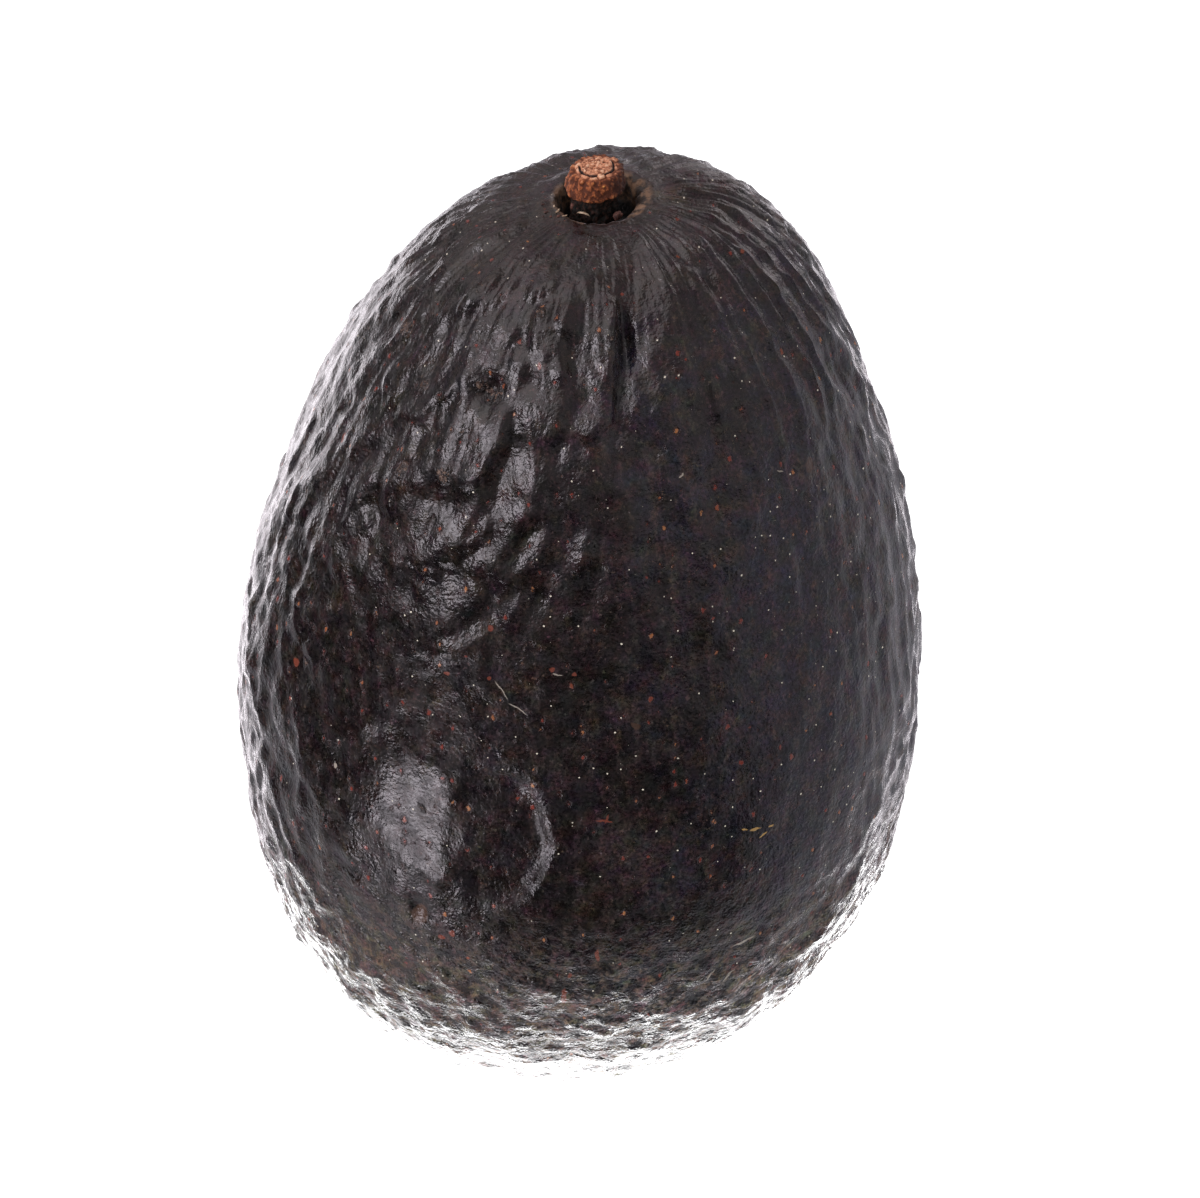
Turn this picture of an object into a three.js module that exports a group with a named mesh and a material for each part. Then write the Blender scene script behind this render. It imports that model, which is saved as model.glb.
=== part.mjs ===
// A whole ripe avocado with the dry stub of its stalk, standing on its blossom end.
// Millimetres, +Z up. The origin is the centre of the small flat spot that the fruit rests on.
//
// Two pieces: the fruit, which grew as one solid with a pit at its stalk end,
// and the woody stub that stands in that pit.

import * as THREE from "three";

// Fruit
const LENGTH = 103; // along the axis, before the flat spot takes a little off the blossom end
const RADIUS = 33.5; // scale of the round section
const NARROWING = [0.177, -0.03, -0.135]; // how the section shrinks towards the stalk, by powers of cos(t)
const FLAT_DEPTH = 1.4; // how much the resting spot takes off
const LEAN = 3; // how far the stalk end stands to +X of the blossom end
const SHOULDER_TILT = 0.07; // slope of the stalk end, whose +X shoulder is the higher one

// Pit at the stalk end
const PIT_RADIUS = 4.4;
const PIT_DEPTH = 4.4; // from the rim to the floor
const PIT_FLOOR_RADIUS = 3.5;
const LIP_RADIUS = 0.7; // round edge between the skin and the pit wall
const DISH_DEPTH = 1.9; // the skin sinks a little towards the pit
const DISH_REACH = 6.8;

// Stub of the stalk
const STUB_NECK_RADIUS = 2.2;
const STUB_BASE_RADIUS = 2.95;
const STUB_TOP_RADIUS = 2.5;
const STUB_BASE_ABOVE_RIM = 1.15;
const STUB_TOP_ABOVE_RIM = 3.5;
const STUB_EDGE = 0.35; // bevel at both ends of the woody frustum
const STUB_OFFSET = -0.7; // the stub stands a little to -X of the middle of the pit

// Facets
const FRUIT_SEGMENTS = 48;
const FRUIT_RINGS = 36;
const LIP_STEPS = 4;
const STUB_SEGMENTS = 24;

const SKIN = new THREE.MeshStandardMaterial({ color: 0x2b2422, roughness: 0.42, metalness: 0 });
const WOOD = new THREE.MeshStandardMaterial({ color: 0x8a5232, roughness: 0.85, metalness: 0 });

const QUARTER_TURN = Math.PI / 2;
const STALK_END_ANGLE = Math.PI / 3; // the pit lies well inside this angle of the skin
const HALVINGS = 40; // enough to reach the precision of a number

// Radius and height of the skin at angle t, which runs from 0 at the stalk end to PI at the blossom end.
function skinPoint(t) {
  const c = Math.cos(t);
  const [k1, k2, k3] = NARROWING;
  const radius = RADIUS * Math.sin(t) * (1 - k1 * c - k2 * c ** 2 - k3 * c ** 3);
  const dish = t < QUARTER_TURN ? DISH_DEPTH * Math.exp(-(((radius - PIT_RADIUS) / DISH_REACH) ** 2)) : 0;
  return new THREE.Vector2(radius, (LENGTH / 2) * (1 + c) - FLAT_DEPTH - dish);
}

// The angle near the stalk end where the skin reaches this radius, found by halving.
function angleAtRadius(radius) {
  let low = 0;
  let high = STALK_END_ANGLE;
  for (let i = 0; i < HALVINGS; i++) {
    const middle = (low + high) / 2;
    if (skinPoint(middle).x < radius) low = middle;
    else high = middle;
  }
  return low;
}

const FLAT_ANGLE = Math.acos((2 * FLAT_DEPTH) / LENGTH - 1);
const LIP_ANGLE = angleAtRadius(PIT_RADIUS + LIP_RADIUS);
const RIM_HEIGHT = skinPoint(LIP_ANGLE).y;
const PIT_FLOOR_HEIGHT = RIM_HEIGHT - PIT_DEPTH;

// From the middle of the flat spot up the skin, over the lip and down to the middle of the pit floor.
function fruitProfile() {
  const points = [new THREE.Vector2(0, 0)];
  for (let i = 0; i <= FRUIT_RINGS; i++)
    points.push(skinPoint(THREE.MathUtils.lerp(FLAT_ANGLE, LIP_ANGLE, i / FRUIT_RINGS)));
  points[1].y = 0; // the edge of the flat spot is exactly on the floor
  for (let i = 1; i <= LIP_STEPS; i++) {
    const turn = (QUARTER_TURN * i) / LIP_STEPS;
    const radius = PIT_RADIUS + LIP_RADIUS * (1 - Math.sin(turn));
    points.push(new THREE.Vector2(radius, RIM_HEIGHT - LIP_RADIUS * (1 - Math.cos(turn))));
  }
  points.push(new THREE.Vector2(PIT_FLOOR_RADIUS, PIT_FLOOR_HEIGHT));
  points.push(new THREE.Vector2(0, PIT_FLOOR_HEIGHT));
  return points;
}

// A neck from the pit floor, then the wider frustum of dry wood that shows above the rim.
function stubProfile() {
  const base = RIM_HEIGHT + STUB_BASE_ABOVE_RIM;
  const top = RIM_HEIGHT + STUB_TOP_ABOVE_RIM;
  return [
    [0, PIT_FLOOR_HEIGHT],
    [STUB_NECK_RADIUS, PIT_FLOOR_HEIGHT],
    [STUB_NECK_RADIUS, base - STUB_EDGE],
    [STUB_BASE_RADIUS - STUB_EDGE, base - STUB_EDGE],
    [STUB_BASE_RADIUS, base],
    [STUB_TOP_RADIUS, top - STUB_EDGE],
    [STUB_TOP_RADIUS - STUB_EDGE, top],
    [0, top],
  ].map(([radius, height]) => new THREE.Vector2(radius, height));
}

// A body of revolution about +Z, whose rings then shift to +X and tilt, more and more towards the stalk end.
function leaningLathe(profile, segments, offset) {
  const geometry = new THREE.LatheGeometry(profile, segments).rotateX(QUARTER_TURN).translate(offset, 0, 0);
  const position = geometry.getAttribute("position");
  for (let i = 0; i < position.count; i++) {
    const x = position.getX(i);
    const z = position.getZ(i);
    const share = z / LENGTH;
    position.setX(i, x + LEAN * share ** 2);
    position.setZ(i, z + SHOULDER_TILT * x * share ** 4);
  }
  geometry.computeVertexNormals();
  return geometry;
}

function piece(name, geometry, material) {
  const mesh = new THREE.Mesh(geometry, material);
  mesh.name = name;
  return mesh;
}

const avocado = new THREE.Group();
avocado.add(
  piece("fruit", leaningLathe(fruitProfile(), FRUIT_SEGMENTS, 0), SKIN),
  piece("stem_stub", leaningLathe(stubProfile(), STUB_SEGMENTS, STUB_OFFSET), WOOD),
);

export default avocado;
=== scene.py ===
"""A whole ripe avocado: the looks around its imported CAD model.

Lengths are in millimetres until the meshes are made, in metres and in the CAD frame.
A place on the fruit is an azimuth, in degrees from the front (-Y) towards +X, and a depth,
the distance along the skin from the lip of the pit at the stalk end.
"""
import math

import bpy
import numpy as np
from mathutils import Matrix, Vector


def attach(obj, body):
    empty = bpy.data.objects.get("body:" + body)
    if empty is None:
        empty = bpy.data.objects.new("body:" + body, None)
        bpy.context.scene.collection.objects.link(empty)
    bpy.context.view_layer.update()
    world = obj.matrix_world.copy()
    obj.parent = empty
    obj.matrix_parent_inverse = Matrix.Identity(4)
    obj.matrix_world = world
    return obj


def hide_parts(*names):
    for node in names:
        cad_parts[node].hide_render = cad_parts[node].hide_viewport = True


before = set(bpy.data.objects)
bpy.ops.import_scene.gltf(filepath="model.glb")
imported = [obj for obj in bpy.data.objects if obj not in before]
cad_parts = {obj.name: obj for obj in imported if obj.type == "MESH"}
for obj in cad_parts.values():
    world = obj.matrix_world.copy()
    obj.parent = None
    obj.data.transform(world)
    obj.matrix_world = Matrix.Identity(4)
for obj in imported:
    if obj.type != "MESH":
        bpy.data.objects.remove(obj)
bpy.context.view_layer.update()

MM = 0.001

# The fruit's form, as in the CAD model
LENGTH = 103.0
RADIUS = 33.5
NARROWING = (0.177, -0.03, -0.135)
FLAT_DEPTH = 1.4
LEAN = 3.0
SHOULDER_TILT = 0.07
PIT_RADIUS = 4.4
PIT_DEPTH = 4.4
PIT_FLOOR_RADIUS = 3.5
LIP_RADIUS = 0.7
DISH_DEPTH = 1.9
DISH_REACH = 6.8

# The stub of the stalk, as in the CAD model
STUB_NECK_RADIUS = 2.2
STUB_BASE_RADIUS = 2.95
STUB_TOP_RADIUS = 2.5
STUB_BASE_ABOVE_RIM = 1.15
STUB_TOP_ABOVE_RIM = 3.5
STUB_EDGE = 0.35
STUB_OFFSET = -0.7

# Blossom scar in the middle of the underside
SCAR_RADIUS = 2.2
SCAR_DEPTH = 0.5

# Mesh of the skin: vertices around it, and rows along each stretch of its profile
PROFILE_SAMPLES = 20001
COLUMNS = 400
SKIN_ROWS = 222
FLAT_ROWS = 10
LIP_ROWS = 5
WALL_ROWS = 7
FLOOR_ROWS = 3

# Mesh of the stub, and of one dry bit in the pit
STUB_COLUMNS = 170
STUB_ROWS = 132
BIT_COLUMNS = 14
BIT_ROWS = 9


# ---------------- noise

class Noise:
    """Gradient and cell noise with a seed of its own, on arrays of points."""

    def __init__(self, seed):
        rng = np.random.default_rng(seed)
        self.order = rng.permutation(256)
        directions = rng.normal(size=(256, 3))
        self.directions = directions / np.linalg.norm(directions, axis=1)[:, None]
        self.offsets = rng.random((256, 3))
        self.values = rng.random(256)

    def hash(self, i):
        n = self.order[i[..., 0] & 255]
        n = self.order[(n + i[..., 1]) & 255]
        return self.order[(n + i[..., 2]) & 255]

    def smooth(self, points):
        """Gradient noise, about -1 to 1."""
        corner = np.floor(points).astype(int)
        inside = points - corner
        fade = inside**3 * (inside * (inside * 6 - 15) + 10)
        total = np.zeros(len(points))
        for step in np.ndindex(2, 2, 2):
            weight = np.prod(np.where(step, fade, 1 - fade), axis=1)
            slope = self.directions[self.hash(corner + step)]
            total += weight * np.sum(slope * (inside - step), axis=1)
        return total * 1.6

    def rough(self, points):
        """Gradient noise, with finer noise on it that is half as high."""
        return self.smooth(points) + 0.5 * self.smooth(points * 2.03 + 17.7)

    def warped(self, points, size, amount):
        """The points moved about by noise of this size."""
        shift = [self.smooth(points / size + 31.7 * axis) for axis in range(3)]
        return points + amount * np.stack(shift, axis=1)

    def crests(self, points, size, amount):
        """Narrow crests, 0 to 1, on points moved about by noise of this size."""
        return np.clip(1 - 2.2 * np.abs(self.smooth(self.warped(points, size, amount))), 0, 1) ** 2

    def cells(self, points):
        """The nearest cell: its number, how far inside it a point lies, and the way from its centre."""
        corner = np.floor(points).astype(int)
        near = np.full(len(points), 9.0)
        second = np.full(len(points), 9.0)
        value = np.zeros(len(points))
        way = np.zeros_like(points)
        for step in np.ndindex(3, 3, 3):
            cell = corner + np.array(step) - 1
            mark = self.hash(cell)
            apart = points - cell - self.offsets[mark]
            gap = np.linalg.norm(apart, axis=1)
            closer = gap < near
            second = np.where(closer, near, np.minimum(second, gap))
            value = np.where(closer, self.values[mark], value)
            way = np.where(closer[:, None], apart, way)
            near = np.where(closer, gap, near)
        return value, second - near, way

    def domes(self, points, edge, least):
        """Cells as domes of uneven height, at least this high, with edges this wide."""
        value, inside = self.cells(points)[:2]
        return ramp(inside, 0, edge) * (least + value)


def ramp(x, low, high):
    """0 below low, 1 above high, smooth between them."""
    t = np.clip((x - low) / (high - low), 0, 1)
    return t * t * (3 - 2 * t)


def bell(x, width):
    """1 at 0, falling smoothly on both sides."""
    return np.exp(-((x / width) ** 2))


# ---------------- form of the fruit

def skin_point(t):
    """Radius and height of the skin at angle t, 0 at the stalk end and pi at the blossom end."""
    c = np.cos(t)
    k1, k2, k3 = NARROWING
    radius = RADIUS * np.sin(t) * (1 - k1 * c - k2 * c**2 - k3 * c**3)
    dish = DISH_DEPTH * np.exp(-(((radius - PIT_RADIUS) / DISH_REACH) ** 2)) * (t < math.pi / 2)
    return radius, LENGTH / 2 * (1 + c) - FLAT_DEPTH - dish


def run_along(radius, height):
    """The distance along a profile, at each of its points."""
    return np.concatenate([[0], np.cumsum(np.hypot(np.diff(radius), np.diff(height)))])


def even_profile():
    """Radius, height and depth in even steps, from the lip of the pit to the edge of the flat spot."""
    t = np.linspace(0, math.pi, PROFILE_SAMPLES)
    radius, height = skin_point(t)
    first = np.argmax(radius > PIT_RADIUS + LIP_RADIUS)
    last = len(t) - np.argmax(height[::-1] > 0)
    radius, height = radius[first:last], height[first:last]
    depth = run_along(radius, height)
    even = np.linspace(0, depth[-1], SKIN_ROWS)
    return np.interp(even, depth, radius), np.interp(even, depth, height), even


def bend(points):
    """The lean and tilt that the CAD model has."""
    x, y, z = points.T
    share = z / LENGTH
    return np.stack([x + LEAN * share**2, y, z + SHOULDER_TILT * x * share**4], axis=1)


def leaning(x, y, height):
    """One point of the upright fruit, moved as its lean and tilt move it."""
    return bend(np.array([[x, y, height]]))[0]


def around_axis(angle, radius, height):
    return np.stack([radius * np.sin(angle), -radius * np.cos(angle), height], axis=1)


def profile_rows():
    """Radius, height and depth of each row, from inside the pit to near the middle of the flat spot."""
    radius, height, depth = even_profile()
    rim = height[0]
    floor = rim - PIT_DEPTH
    turn = np.linspace(math.pi / 2, 0, LIP_ROWS, endpoint=False)
    lip_radius = PIT_RADIUS + LIP_RADIUS * (1 - np.sin(turn))
    lip_height = rim - LIP_RADIUS * (1 - np.cos(turn))
    wall = np.linspace(0, 1, WALL_ROWS, endpoint=False)
    wall_radius = PIT_FLOOR_RADIUS + (lip_radius[0] - PIT_FLOOR_RADIUS) * wall
    wall_height = floor + (lip_height[0] - floor) * wall
    floor_radius = PIT_FLOOR_RADIUS * np.linspace(0, 1, FLOOR_ROWS + 1)[1:-1]
    floor_height = np.full(len(floor_radius), floor)
    flat_radius = radius[-1] * np.linspace(1, 0, FLAT_ROWS + 1)[1:-1]
    flat_height = np.zeros(len(flat_radius))
    inner = np.concatenate([floor_radius, wall_radius, lip_radius]) - PIT_RADIUS - LIP_RADIUS
    below = np.concatenate([np.full(len(floor_radius), -PIT_DEPTH), wall_height - rim, lip_height - rim])
    outer = depth[-1] + radius[-1] - flat_radius
    return (np.concatenate([floor_radius, wall_radius, lip_radius, radius, flat_radius]),
            np.concatenate([floor_height, wall_height, lip_height, height, flat_height]),
            np.concatenate([inner + below, depth, outer]))


rows_radius, rows_height, rows_depth = profile_rows()
ROWS = len(rows_radius)
RIM_HEIGHT = rows_height[np.argmax(rows_depth >= 0)]
PIT_FLOOR_HEIGHT = RIM_HEIGHT - PIT_DEPTH

# Each vertex of the smooth skin, row by row
AZIMUTH = np.tile(np.linspace(-180, 180, COLUMNS, endpoint=False), ROWS)
ANGLE = np.radians(AZIMUTH)
RING = np.repeat(rows_radius, COLUMNS)
HEIGHT = np.repeat(rows_height, COLUMNS)
DEPTH = np.repeat(rows_depth, COLUMNS)
PLACE = bend(around_axis(ANGLE, RING, HEIGHT))


def outward_parts(radius, height, columns):
    """How much of the way out of a turned profile is sideways, and how much is up, at each vertex."""
    sideways = -np.gradient(height)
    up = np.gradient(radius)
    size = np.maximum(np.hypot(sideways, up), 1e-9)
    return np.repeat(sideways / size, columns), np.repeat(up / size, columns)


sideways_part, up_part = outward_parts(rows_radius, rows_height, COLUMNS)
OUTWARD = around_axis(ANGLE, sideways_part, up_part)
DOWNWARD = around_axis(ANGLE, up_part, -sideways_part)
RIGHTWARD = around_axis(ANGLE + math.pi / 2, np.ones(len(ANGLE)), np.zeros(len(ANGLE)))


def radius_at(depth):
    """Radius of the smooth form at a depth."""
    return float(np.interp(depth, rows_depth, rows_radius))


# ---------------- relief

broad_noise = Noise(11)
fine_noise = Noise(23)
edge_noise = Noise(37)
loose_noise = Noise(53)
wood_noise = Noise(71)
chip_noise = Noise(83)

# Heights of the relief
BROAD_LUMPS = 0.45
SMALL_LUMPS = 0.22
SCALES = 0.6
SHOULDER_SCALES = 0.7
FINE_RIBS = 0.20
SHOULDER_RIBS = 0.60
PIT_FOLDS = 0.45
FURROWS = 0.20
RIGHT_STREAKS = 0.26
LEFT_STREAKS = 0.20
LEFT_FINE_STREAKS = 0.05
BACK_STREAKS = 0.08
PEBBLES = 0.08
BACK_PEBBLES = 0.08
WRINKLES = 0.13
END_WAVES = 0.18
END_CRESTS = 0.20
END_WRINKLES = 0.12
LIP_BUMPS = 0.22
WALL_FIBRES = 0.18
FILLING_BUMPS = 0.15
FILLING = 0.9


def along(spacing, length):
    """Coordinates that stretch with the meridians: spacing at the widest ring, length along them."""
    x, y = np.sin(ANGLE) * RADIUS, -np.cos(ANGLE) * RADIUS
    return np.column_stack([x / spacing, y / spacing, DEPTH / length])


def upright(width, length):
    """Coordinates that keep their width, and stretch only in height."""
    return PLACE / (width, width, length)


def from_azimuth(azimuth):
    """Degrees from an azimuth, -180 to 180."""
    return (AZIMUTH - azimuth + 180) % 360 - 180


def facing(azimuth, width):
    """1 at an azimuth, falling smoothly on both sides."""
    return bell(from_azimuth(azimuth), width)


def about(azimuth, depth, turn=0):
    """Millimetres to the right of a place and below it, seen from outside, turned clockwise."""
    x = np.radians(from_azimuth(azimuth)) * RING
    y = DEPTH - depth
    c, s = math.cos(math.radians(turn)), math.sin(math.radians(turn))
    return c * x + s * y, c * y - s * x


# Broad lumps: azimuth, depth, reach, amount
LUMPS = [
    (-122, 10, 13, -0.6),
    (-55, 98, 14, 1.4),
    (83, 45, 15, 0.1),
    (-95, 30, 12, -0.5),
    (75, 75, 12, -0.4),
]


def broad_form():
    """The fruit's uneven broad form."""
    h = BROAD_LUMPS * broad_noise.rough(PLACE / 20)
    for azimuth, depth, reach, amount in LUMPS:
        x, y = about(azimuth, depth)
        h += amount * np.exp(-(x**2 + y**2) / reach**2)
    return h


def calm():
    """How smooth the skin is, 0 to 1: most at the front and right, and at the lower left."""
    front = facing(32, 40) * (0.25 + 0.75 * ramp(DEPTH, 30, 50))
    lower_left = 0.90 * facing(-26, 30) * ramp(DEPTH, 37, 46)
    return np.maximum(front, lower_left) * (1 - ramp(DEPTH, 74, 84))


CALM = calm()


def shingles(width, length, lean_right, lean_down, edge, noise):
    """Overlapping scales: each rises to the right and downwards, and drops sharply at its edge."""
    value, inside, way = noise.cells(noise.warped(upright(width, length), 0.55, 0.35))
    way = way * (width, width, length)
    right = np.sum(way * RIGHTWARD, axis=1)
    down = np.sum(way * DOWNWARD, axis=1)
    return ramp(inside, 0, edge) * (0.35 + value) * (lean_right * right + lean_down * down)


# Flattened faces: azimuth, depth, half width, half length, turn, rise to the right, rise downwards, sink
FACETS = [
    (-27.5, 62.5, 5.3, 7.6, -4, 0, 0, 0.3),
    (-37, 56.5, 1.5, 1.6, -10, 0, 0, 0.15),
    (-30.5, 24, 3.4, 5.6, 16, 0.1, 0.03, 0.1),
    (-32.5, 32.5, 4.6, 4.8, 22, 0.12, 0.09, 0.12),
    (-2.5, 13.5, 2.9, 5.4, 4, 0.26, -0.1, 0.1),
    (-1.5, 20, 2.3, 3.4, 24, 0.28, 0, 0.05),
    (-8, 24.5, 1.1, 1.8, 15, 0.26, 0.08, 0),
    (1, 26.5, 1, 1.6, 10, 0.34, 0.08, 0),
    (-12, 33, 1.8, 3.4, 18, 0.26, 0.11, 0),
    (-2.5, 32.5, 1.5, 3, 12, 0.34, 0.12, 0),
    (-13.5, 38.5, 1.1, 1.5, 20, 0.26, 0.16, 0),
    (-22, 42.5, 1.7, 4.2, 38, 0.22, 0.18, 0),
    (-13.5, 43, 0.9, 2.6, 30, 0.24, 0.16, 0),
    (8, 37, 1, 2.4, 12, 0.2, 0.04, 0),
    (-52, 20, 4.4, 6, 20, 0.03, 0.02, 0.2),
    (-60, 9.5, 3.2, 4.5, 25, 0.05, 0.02, 0.1),
]

HOLLOW = 0.016  # how much a leaning face curves up to its sharp edge


def flattened(h, azimuth, depth, half_width, half_length, turn, right, down, sink):
    """The relief with one flat face, which is soft above and to the left, and sharp at its other edges."""
    hollow = HOLLOW if right else 0
    x, y = about(azimuth, depth, turn)
    wobble = 0.16 * edge_noise.smooth(PLACE / 1.7) + 0.24 * edge_noise.smooth(PLACE / 4.6)
    u = (np.abs(x / half_width) ** 2.6 + np.abs(y / half_length) ** 2.6) ** (1 / 2.6) + wobble
    inside = (1 - u) * min(half_width, half_length)
    side = (x / half_width + 0.6 * y / half_length) / np.maximum(u, 0.2)
    fade = np.interp(side, [-0.8, 0.8], [0.55 * half_width, 0.55])
    share = ramp(inside, 0, fade)
    middle = h[np.argmin(x**2 + y**2)]
    face = middle - sink + right * x + down * y + x**2 * (1 / (2 * RADIUS) + hollow) + y**2 / (4 * RADIUS)
    return h + share * (face - h)


# Dents: azimuth, depth, half width, half length, amount, width of the wall
DENTS = [
    (-14, 63.5, 5.6, 8, 0.65, 1.5),
    (-34, 28.5, 1.6, 1.2, 0.55, 1.2),
    (-31, 19.5, 2.2, 1.1, 0.5, 1),
    (-45, 29, 1, 1.2, 0.45, 0.9),
    (-27.5, 74.5, 1.5, 2.2, 0.6, 1.3),
    (8.5, 13, 1.2, 3.6, 0.75, 1.2),
    (14, 24.5, 1.2, 1.6, 0.25, 1.1),
    (12, 33.5, 1.9, 1.2, 0.3, 1.1),
    (-74, 28.5, 1.3, 1.6, 0.4, 1.2),
    (-56, 54, 2.4, 2.4, 0.35, 1.4),
    (-66, 45, 3, 3.6, 0.35, 1.6),
    (-58, 66, 2.6, 3.4, 0.35, 1.6),
]

DENT_LEAN = 0.8  # how much deeper a dent is at its right edge than in the middle


def dented(h, azimuth, depth, half_width, half_length, amount, wall):
    """The relief with one dent, deepest along the wall at its right."""
    x, y = about(azimuth, depth)
    u = np.hypot(x / half_width, y / half_length) + 0.10 * edge_noise.smooth(PLACE / 2.9)
    inside = (1 - u) * min(half_width, half_length)
    lean = 1 + DENT_LEAN * np.clip(x / half_width, -1, 1)
    return h - amount * lean * ramp(inside, -0.15 * wall, wall)


# Crests, sharp on their right: path of azimuths and depths, height, reach to the left
CRESTS = [
    ([(-50, 6), (-45, 10), (-40, 12), (-33, 14)], 0.3, 2.6),
    ([(-41, 15), (-37, 17), (-34, 19)], 0.25, 1.8),
    ([(-70, 17), (-64, 16.5), (-58, 17.5)], 0.25, 1.6),
    ([(-69, 30), (-70, 32), (-69, 34.5)], 0.3, 1.4),
    ([(-76, 41), (-70, 37), (-66, 36)], 0.3, 2),
    ([(-60, 40), (-62, 44), (-62, 48), (-60, 50.5), (-56, 51), (-54, 53), (-52.5, 56)], 0.35, 1.5),
    ([(-64, 52), (-62, 55), (-59, 56.5)], 0.25, 1),
    ([(-74, 40), (-75, 45), (-73, 50)], 0.3, 1.6),
    ([(-58, 60.5), (-54, 60), (-52.5, 62.5), (-53, 66)], 0.25, 1.3),
    ([(-80, 52), (-78, 57), (-73, 61), (-68, 63.5), (-64, 65.5)], 0.35, 2),
    ([(-66, 67), (-62, 70), (-58.5, 74), (-54, 77), (-49, 79)], 0.32, 1.8),
    ([(-47, 75), (-43, 80), (-38, 83.5), (-30, 85)], 0.22, 1.2),
    ([(-34, 79), (-27, 81), (-20, 84.5), (-15, 86)], 0.2, 1),
    ([(52, 78), (58, 73), (66, 70), (75, 68)], 0.28, 1.8),
    ([(40, 87), (48, 84.5), (54, 81), (60, 76)], 0.25, 1.4),
    ([(74, 22), (75, 30), (77, 37), (76, 43), (79, 44)], 0.25, 1.3),
    ([(80, 12), (83, 17), (80, 22), (84, 30), (83, 38)], 0.25, 1.3),
    ([(44, 42), (43, 48), (41, 52), (39, 56)], 0.07, 0.5),
    ([(60, 66), (63, 62), (65, 57), (66, 52)], 0.12, 0.9),
    ([(-10, 54.5), (-15, 53.5), (-17, 56)], 0.12, 0.9),
]
SHARP_REACH = 0.45  # the reach to the right

# Creases: path of azimuths and depths, amount, reach to the left and right
CREASES = [
    ([(7, 8), (8.5, 13), (7, 18), (4.5, 23), (2, 27)], 0.6, 0.7, 2),
    ([(-21, 20), (-20.5, 25), (-22.5, 30), (-26, 34.5), (-33, 37.5), (-41, 39.5)], 0.6, 0.6, 2.2),
    ([(-31, 13), (-32, 17), (-29, 21), (-24, 22)], 0.4, 0.6, 1.4),
    ([(-6, 27), (-7, 33), (-9.5, 38), (-13, 42.5), (-19, 46)], 0.45, 0.5, 1.8),
    ([(2, 30), (1.5, 35), (-1, 40)], 0.35, 0.5, 1.5),
    ([(-50, 24), (-52, 30), (-50, 36), (-46, 41)], 0.35, 0.7, 1.8),
    ([(-36, 8), (-30, 12), (-22, 15), (-16, 20)], 0.3, 0.8, 1.8),
    ([(12, 24), (14, 32), (12, 40)], 0.22, 0.8, 1.8),
    ([(24, 16), (27, 25), (25, 34)], 0.2, 0.9, 2),
]


def ridge(path, height, left, right):
    """A ridge along a path, or a crease, with its own reach on each side, fading at both ends."""
    middle = np.mean([azimuth for azimuth, depth in path])
    x, y = np.radians(from_azimuth(middle)) * RING, DEPTH
    corners = [(math.radians(azimuth - middle) * radius_at(depth), depth) for azimuth, depth in path]
    total = sum(math.dist(a, b) for a, b in zip(corners, corners[1:]))
    nearest = np.full(len(x), 99.0)
    signed = np.zeros(len(x))
    run = np.zeros(len(x))
    passed = 0.0
    for (ax, ay), (bx, by) in zip(corners, corners[1:]):
        span = math.hypot(bx - ax, by - ay)
        ux, uy = (bx - ax) / span, (by - ay) / span
        t = np.clip((x - ax) * ux + (y - ay) * uy, 0, span)
        dx, dy = x - ax - t * ux, y - ay - t * uy
        gap = np.hypot(dx, dy)
        closer = gap < nearest
        signed = np.where(closer, np.copysign(gap, dx), signed)
        run = np.where(closer, passed + t, run)
        nearest = np.where(closer, gap, nearest)
        passed += span
    ends = ramp(run, 0, 0.2 * total) * ramp(total - run, 0, 0.2 * total)
    width = np.where(signed < 0, left, right) * (1 + 0.3 * edge_noise.smooth(PLACE / 3.1))
    return height * (0.15 + 0.85 * ends) * np.exp(-((nearest / width) ** 1.5))


def ribs():
    """Fine ridges that run out from the pit, coarsest on the right shoulder."""
    shoulder = facing(80, 55) * ramp(DEPTH, 0.3, 3) * (1 - ramp(DEPTH, 22, 36))
    everywhere = ramp(DEPTH, 0.3, 2) * (1 - ramp(DEPTH, 9, 22))
    h = FINE_RIBS * everywhere * fine_noise.crests(along(2.6, 13), 2.0, 0.4)
    h += SHOULDER_RIBS * shoulder * edge_noise.crests(along(3.4, 17), 2.5, 0.5)
    return h * np.clip(RING / 11, 0.45, 1) * (1 - 0.5 * facing(180, 60))


def folds():
    """Soft folds that gather towards the pit."""
    near_pit = ramp(DEPTH, 0.2, 3) * (1 - ramp(DEPTH, 14, 30))
    h = PIT_FOLDS * loose_noise.smooth(loose_noise.warped(along(9.0, 34), 2.2, 0.35))
    return h * near_pit * np.clip(RING / 11, 0.4, 1) * (1 - 0.65 * facing(180, 80))


def furrows():
    """Narrow grooves between the lumps."""
    h = -FURROWS * edge_noise.crests(upright(4.8, 8.5), 1.5, 0.5)
    return h * (1 - 0.75 * CALM) * ramp(DEPTH, 5, 12) * (0.5 + 0.5 * facing(-30, 70))


def blossom_end():
    """Wrinkles around the fruit, which get stronger towards the resting spot."""
    h = END_WAVES * broad_noise.rough(PLACE / 6.5)
    h += END_CRESTS * loose_noise.crests(PLACE / (6.0, 6.0, 2.6), 1.5, 0.7)
    h += END_WRINKLES * edge_noise.rough(PLACE / (2.8, 2.8, 1.5))
    return h * ramp(DEPTH, 70, 84) * (0.6 + 0.4 * facing(0, 50))


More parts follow.
